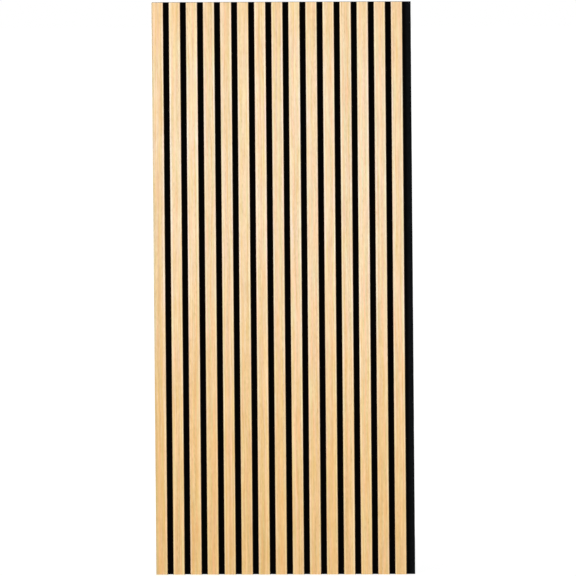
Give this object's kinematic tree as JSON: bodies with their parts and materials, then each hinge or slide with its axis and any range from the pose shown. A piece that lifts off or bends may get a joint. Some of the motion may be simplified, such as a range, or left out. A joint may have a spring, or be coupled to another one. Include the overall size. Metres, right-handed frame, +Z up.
{
  "type": "acoustic slat wall panel",
  "caption": "Wall panel of evenly spaced vertical veneered slats, stapled from behind to a black felt board that shows in the gaps and absorbs sound.",
  "frame": {"origin": "middle of the felt's back face, which lies on the wall", "axes": "+Z up along the slats, +Y into the wall, +X to the right as seen from the room"},
  "size_m": [0.605, 0.021, 1.335],
  "materials": {
    "felt": "needled polyester felt, black, fibrous and matt",
    "core_board": "black dyed fibreboard, matt",
    "veneer": "pale straight-grained oak veneer, matt lacquer",
    "staple_wire": "galvanised steel wire"
  },
  "bodies": {
    "root": {"felt_backing": "felt", "slat_core_01": "core_board", "slat_core_02": "core_board", "slat_core_03": "core_board", "slat_core_04": "core_board", "slat_core_05": "core_board", "slat_core_06": "core_board", "slat_core_07": "core_board", "slat_core_08": "core_board", "slat_core_09": "core_board", "slat_core_10": "core_board", "slat_core_11": "core_board", "slat_core_12": "core_board", "slat_core_13": "core_board", "slat_core_14": "core_board", "slat_core_15": "core_board", "slat_veneer_01": "veneer", "slat_veneer_02": "veneer", "slat_veneer_03": "veneer", "slat_veneer_04": "veneer", "slat_veneer_05": "veneer", "slat_veneer_06": "veneer", "slat_veneer_07": "veneer", "slat_veneer_08": "veneer", "slat_veneer_09": "veneer", "slat_veneer_10": "veneer", "slat_veneer_11": "veneer", "slat_veneer_12": "veneer", "slat_veneer_13": "veneer", "slat_veneer_14": "veneer", "slat_veneer_15": "veneer", "staples": "staple_wire"}
  },
  "joints": []
}
